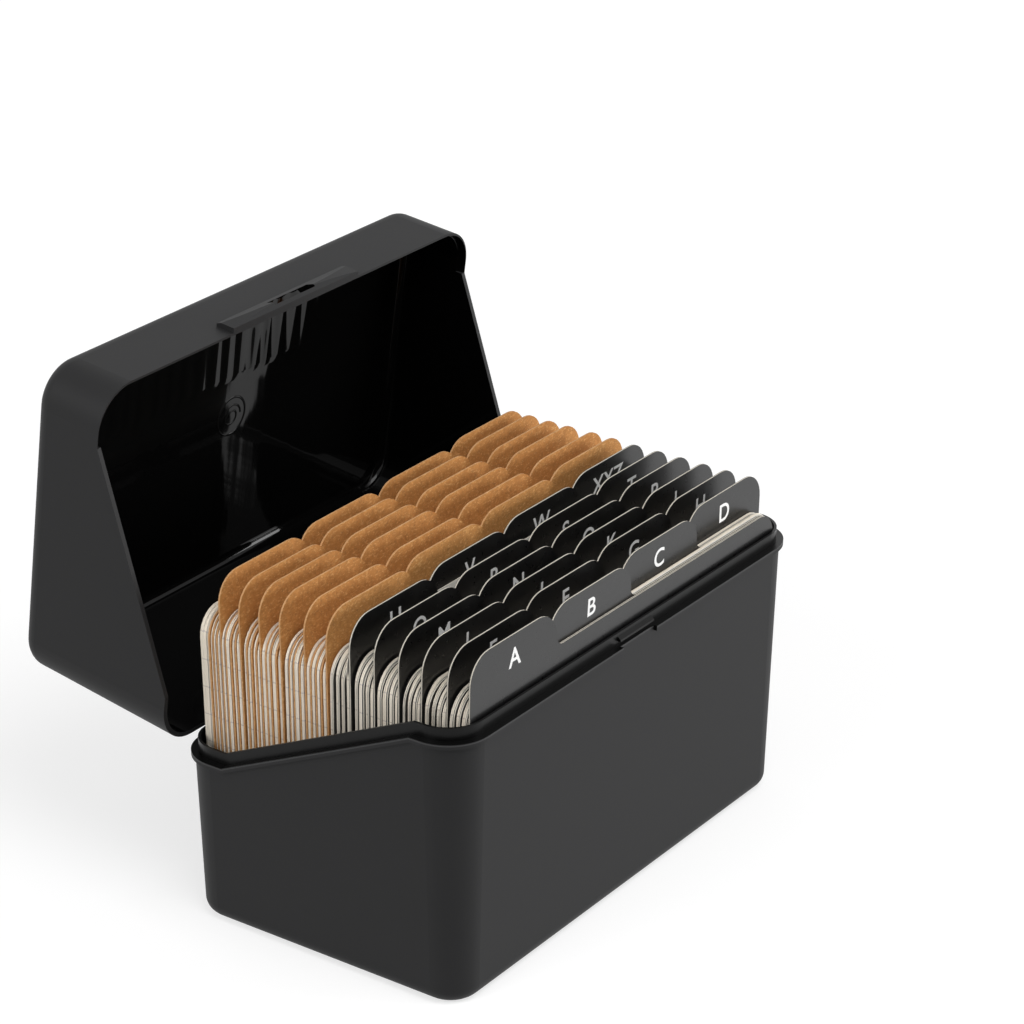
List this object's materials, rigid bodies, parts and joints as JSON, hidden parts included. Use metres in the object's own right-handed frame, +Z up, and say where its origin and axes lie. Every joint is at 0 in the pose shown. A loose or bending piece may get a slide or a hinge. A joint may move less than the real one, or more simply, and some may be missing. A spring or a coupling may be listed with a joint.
{
  "type": "index card box",
  "caption": "Flip-lid plastic index card box, lid open, packed with lettered tab dividers, blank kraft tab dividers and ruled cards.",
  "frame": {"origin": "middle of the tub's flat underside", "axes": "+X to the right along the long side as seen from the front, +Y from the latch side to the hinge side, +Z up"},
  "size_m": [0.1434, 0.1319, 0.1326],
  "materials": {
    "black_plastic": "satin",
    "black_board": "matte",
    "kraft_board": "matte",
    "white_card": "matte"
  },
  "bodies": {
    "tub": {"tub": "black_plastic"},
    "lid": {"lid": "black_plastic"},
    "cards_a_to_d": {"cards_a_to_d": "white_card"},
    "cards_e_to_h": {"cards_e_to_h": "white_card"},
    "cards_i_to_l": {"cards_i_to_l": "white_card"},
    "cards_kraft_01_to_08": {"cards_kraft_01_to_08": "white_card"},
    "cards_kraft_09_to_16": {"cards_kraft_09_to_16": "white_card"},
    "cards_kraft_17_to_24": {"cards_kraft_17_to_24": "white_card"},
    "cards_m_to_p": {"cards_m_to_p": "white_card"},
    "cards_q_to_t": {"cards_q_to_t": "white_card"},
    "cards_u_to_xyz": {"cards_u_to_xyz": "white_card"},
    "divider_a": {"divider_a": "black_board"},
    "divider_b": {"divider_b": "black_board"},
    "divider_c": {"divider_c": "black_board"},
    "divider_d": {"divider_d": "black_board"},
    "divider_e": {"divider_e": "black_board"},
    "divider_f": {"divider_f": "black_board"},
    "divider_g": {"divider_g": "black_board"},
    "divider_h": {"divider_h": "black_board"},
    "divider_i": {"divider_i": "black_board"},
    "divider_j": {"divider_j": "black_board"},
    "divider_k": {"divider_k": "black_board"},
    "divider_kraft_01": {"divider_kraft_01": "kraft_board"},
    "divider_kraft_02": {"divider_kraft_02": "kraft_board"},
    "divider_kraft_03": {"divider_kraft_03": "kraft_board"},
    "divider_kraft_04": {"divider_kraft_04": "kraft_board"},
    "divider_kraft_05": {"divider_kraft_05": "kraft_board"},
    "divider_kraft_06": {"divider_kraft_06": "kraft_board"},
    "divider_kraft_07": {"divider_kraft_07": "kraft_board"},
    "divider_kraft_08": {"divider_kraft_08": "kraft_board"},
    "divider_kraft_09": {"divider_kraft_09": "kraft_board"},
    "divider_kraft_10": {"divider_kraft_10": "kraft_board"},
    "divider_kraft_11": {"divider_kraft_11": "kraft_board"},
    "divider_kraft_12": {"divider_kraft_12": "kraft_board"},
    "divider_kraft_13": {"divider_kraft_13": "kraft_board"},
    "divider_kraft_14": {"divider_kraft_14": "kraft_board"},
    "divider_kraft_15": {"divider_kraft_15": "kraft_board"},
    "divider_kraft_16": {"divider_kraft_16": "kraft_board"},
    "divider_kraft_17": {"divider_kraft_17": "kraft_board"},
    "divider_kraft_18": {"divider_kraft_18": "kraft_board"},
    "divider_kraft_19": {"divider_kraft_19": "kraft_board"},
    "divider_kraft_20": {"divider_kraft_20": "kraft_board"},
    "divider_kraft_21": {"divider_kraft_21": "kraft_board"},
    "divider_kraft_22": {"divider_kraft_22": "kraft_board"},
    "divider_kraft_23": {"divider_kraft_23": "kraft_board"},
    "divider_kraft_24": {"divider_kraft_24": "kraft_board"},
    "divider_l": {"divider_l": "black_board"},
    "divider_m": {"divider_m": "black_board"},
    "divider_n": {"divider_n": "black_board"},
    "divider_o": {"divider_o": "black_board"},
    "divider_p": {"divider_p": "black_board"},
    "divider_q": {"divider_q": "black_board"},
    "divider_r": {"divider_r": "black_board"},
    "divider_s": {"divider_s": "black_board"},
    "divider_t": {"divider_t": "black_board"},
    "divider_u": {"divider_u": "black_board"},
    "divider_v": {"divider_v": "black_board"},
    "divider_w": {"divider_w": "black_board"},
    "divider_xyz": {"divider_xyz": "black_board"}
  },
  "joints": [
    {"name": "lid_hinge", "type": "hinge", "parent": "tub", "child": "lid", "pos_m": [0, 0.0433, 0.0416], "axis": [-1, 0, 0], "range_deg": [-82, 0], "deforming": ["cards_a_to_d", "divider_a", "divider_b", "divider_c", "divider_d", "divider_e", "divider_f"]},
    {"name": "lift_cards_a_to_d", "type": "slide", "parent": "tub", "child": "cards_a_to_d", "axis": [0, -0.0316, 0.9995], "range_m": [0, 0.09]},
    {"name": "lift_cards_e_to_h", "type": "slide", "parent": "tub", "child": "cards_e_to_h", "axis": [0, -0.0264, 0.9997], "range_m": [0, 0.09]},
    {"name": "lift_cards_i_to_l", "type": "slide", "parent": "tub", "child": "cards_i_to_l", "axis": [0, -0.0211, 0.9998], "range_m": [0, 0.09]},
    {"name": "lift_cards_kraft_01_to_08", "type": "slide", "parent": "tub", "child": "cards_kraft_01_to_08", "axis": [0, 0.0027, 1], "range_m": [0, 0.09]},
    {"name": "lift_cards_kraft_09_to_16", "type": "slide", "parent": "tub", "child": "cards_kraft_09_to_16", "axis": [0, 0.0129, 0.9999], "range_m": [0, 0.09]},
    {"name": "lift_cards_kraft_17_to_24", "type": "slide", "parent": "tub", "child": "cards_kraft_17_to_24", "axis": [0, 0.0221, 0.9998], "range_m": [0, 0.09]},
    {"name": "lift_cards_m_to_p", "type": "slide", "parent": "tub", "child": "cards_m_to_p", "axis": [0, -0.016, 0.9999], "range_m": [0, 0.09]},
    {"name": "lift_cards_q_to_t", "type": "slide", "parent": "tub", "child": "cards_q_to_t", "axis": [0, -0.0106, 0.9999], "range_m": [0, 0.09]},
    {"name": "lift_cards_u_to_xyz", "type": "slide", "parent": "tub", "child": "cards_u_to_xyz", "axis": [0, -0.0052, 1], "range_m": [0, 0.09]},
    {"name": "lift_a", "type": "slide", "parent": "tub", "child": "divider_a", "axis": [0, -0.0316, 0.9995], "range_m": [0, 0.09]},
    {"name": "lift_b", "type": "slide", "parent": "tub", "child": "divider_b", "axis": [0, -0.0316, 0.9995], "range_m": [0, 0.09]},
    {"name": "lift_c", "type": "slide", "parent": "tub", "child": "divider_c", "axis": [0, -0.0316, 0.9995], "range_m": [0, 0.09]},
    {"name": "lift_d", "type": "slide", "parent": "tub", "child": "divider_d", "axis": [0, -0.0316, 0.9995], "range_m": [0, 0.09]},
    {"name": "lift_e", "type": "slide", "parent": "tub", "child": "divider_e", "axis": [0, -0.0264, 0.9997], "range_m": [0, 0.09]},
    {"name": "lift_f", "type": "slide", "parent": "tub", "child": "divider_f", "axis": [0, -0.0264, 0.9997], "range_m": [0, 0.09]},
    {"name": "lift_g", "type": "slide", "parent": "tub", "child": "divider_g", "axis": [0, -0.0264, 0.9997], "range_m": [0, 0.09]},
    {"name": "lift_h", "type": "slide", "parent": "tub", "child": "divider_h", "axis": [0, -0.0264, 0.9997], "range_m": [0, 0.09]},
    {"name": "lift_i", "type": "slide", "parent": "tub", "child": "divider_i", "axis": [0, -0.0211, 0.9998], "range_m": [0, 0.09]},
    {"name": "lift_j", "type": "slide", "parent": "tub", "child": "divider_j", "axis": [0, -0.0211, 0.9998], "range_m": [0, 0.09]},
    {"name": "lift_k", "type": "slide", "parent": "tub", "child": "divider_k", "axis": [0, -0.0211, 0.9998], "range_m": [0, 0.09]},
    {"name": "lift_kraft_01", "type": "slide", "parent": "tub", "child": "divider_kraft_01", "axis": [0, 0.0027, 1], "range_m": [0, 0.09]},
    {"name": "lift_kraft_02", "type": "slide", "parent": "tub", "child": "divider_kraft_02", "axis": [0, 0.0027, 1], "range_m": [0, 0.09]},
    {"name": "lift_kraft_03", "type": "slide", "parent": "tub", "child": "divider_kraft_03", "axis": [0, 0.0027, 1], "range_m": [0, 0.09]},
    {"name": "lift_kraft_04", "type": "slide", "parent": "tub", "child": "divider_kraft_04", "axis": [0, 0.0027, 1], "range_m": [0, 0.09]},
    {"name": "lift_kraft_05", "type": "slide", "parent": "tub", "child": "divider_kraft_05", "axis": [0, 0.0027, 1], "range_m": [0, 0.09]},
    {"name": "lift_kraft_06", "type": "slide", "parent": "tub", "child": "divider_kraft_06", "axis": [0, 0.0027, 1], "range_m": [0, 0.09]},
    {"name": "lift_kraft_07", "type": "slide", "parent": "tub", "child": "divider_kraft_07", "axis": [0, 0.0027, 1], "range_m": [0, 0.09]},
    {"name": "lift_kraft_08", "type": "slide", "parent": "tub", "child": "divider_kraft_08", "axis": [0, 0.0027, 1], "range_m": [0, 0.09]},
    {"name": "lift_kraft_09", "type": "slide", "parent": "tub", "child": "divider_kraft_09", "axis": [0, 0.0129, 0.9999], "range_m": [0, 0.09]},
    {"name": "lift_kraft_10", "type": "slide", "parent": "tub", "child": "divider_kraft_10", "axis": [0, 0.0129, 0.9999], "range_m": [0, 0.09]},
    {"name": "lift_kraft_11", "type": "slide", "parent": "tub", "child": "divider_kraft_11", "axis": [0, 0.0129, 0.9999], "range_m": [0, 0.09]},
    {"name": "lift_kraft_12", "type": "slide", "parent": "tub", "child": "divider_kraft_12", "axis": [0, 0.0129, 0.9999], "range_m": [0, 0.09]},
    {"name": "lift_kraft_13", "type": "slide", "parent": "tub", "child": "divider_kraft_13", "axis": [0, 0.0129, 0.9999], "range_m": [0, 0.09]},
    {"name": "lift_kraft_14", "type": "slide", "parent": "tub", "child": "divider_kraft_14", "axis": [0, 0.0129, 0.9999], "range_m": [0, 0.09]},
    {"name": "lift_kraft_15", "type": "slide", "parent": "tub", "child": "divider_kraft_15", "axis": [0, 0.0129, 0.9999], "range_m": [0, 0.09]},
    {"name": "lift_kraft_16", "type": "slide", "parent": "tub", "child": "divider_kraft_16", "axis": [0, 0.0129, 0.9999], "range_m": [0, 0.09]},
    {"name": "lift_kraft_17", "type": "slide", "parent": "tub", "child": "divider_kraft_17", "axis": [0, 0.0221, 0.9998], "range_m": [0, 0.09]},
    {"name": "lift_kraft_18", "type": "slide", "parent": "tub", "child": "divider_kraft_18", "axis": [0, 0.0221, 0.9998], "range_m": [0, 0.09]},
    {"name": "lift_kraft_19", "type": "slide", "parent": "tub", "child": "divider_kraft_19", "axis": [0, 0.0221, 0.9998], "range_m": [0, 0.09]},
    {"name": "lift_kraft_20", "type": "slide", "parent": "tub", "child": "divider_kraft_20", "axis": [0, 0.0221, 0.9998], "range_m": [0, 0.09]},
    {"name": "lift_kraft_21", "type": "slide", "parent": "tub", "child": "divider_kraft_21", "axis": [0, 0.0221, 0.9998], "range_m": [0, 0.09]},
    {"name": "lift_kraft_22", "type": "slide", "parent": "tub", "child": "divider_kraft_22", "axis": [0, 0.0221, 0.9998], "range_m": [0, 0.09]},
    {"name": "lift_kraft_23", "type": "slide", "parent": "tub", "child": "divider_kraft_23", "axis": [0, 0.0221, 0.9998], "range_m": [0, 0.09]},
    {"name": "lift_kraft_24", "type": "slide", "parent": "tub", "child": "divider_kraft_24", "axis": [0, 0.0221, 0.9998], "range_m": [0, 0.09]},
    {"name": "lift_l", "type": "slide", "parent": "tub", "child": "divider_l", "axis": [0, -0.0211, 0.9998], "range_m": [0, 0.09]},
    {"name": "lift_m", "type": "slide", "parent": "tub", "child": "divider_m", "axis": [0, -0.016, 0.9999], "range_m": [0, 0.09]},
    {"name": "lift_n", "type": "slide", "parent": "tub", "child": "divider_n", "axis": [0, -0.016, 0.9999], "range_m": [0, 0.09]},
    {"name": "lift_o", "type": "slide", "parent": "tub", "child": "divider_o", "axis": [0, -0.016, 0.9999], "range_m": [0, 0.09]},
    {"name": "lift_p", "type": "slide", "parent": "tub", "child": "divider_p", "axis": [0, -0.016, 0.9999], "range_m": [0, 0.09]},
    {"name": "lift_q", "type": "slide", "parent": "tub", "child": "divider_q", "axis": [0, -0.0106, 0.9999], "range_m": [0, 0.09]},
    {"name": "lift_r", "type": "slide", "parent": "tub", "child": "divider_r", "axis": [0, -0.0106, 0.9999], "range_m": [0, 0.09]},
    {"name": "lift_s", "type": "slide", "parent": "tub", "child": "divider_s", "axis": [0, -0.0106, 0.9999], "range_m": [0, 0.09]},
    {"name": "lift_t", "type": "slide", "parent": "tub", "child": "divider_t", "axis": [0, -0.0106, 0.9999], "range_m": [0, 0.09]},
    {"name": "lift_u", "type": "slide", "parent": "tub", "child": "divider_u", "axis": [0, -0.0052, 1], "range_m": [0, 0.09]},
    {"name": "lift_v", "type": "slide", "parent": "tub", "child": "divider_v", "axis": [0, -0.0052, 1], "range_m": [0, 0.09]},
    {"name": "lift_w", "type": "slide", "parent": "tub", "child": "divider_w", "axis": [0, -0.0052, 1], "range_m": [0, 0.09]},
    {"name": "lift_xyz", "type": "slide", "parent": "tub", "child": "divider_xyz", "axis": [0, -0.0052, 1], "range_m": [0, 0.09]}
  ]
}
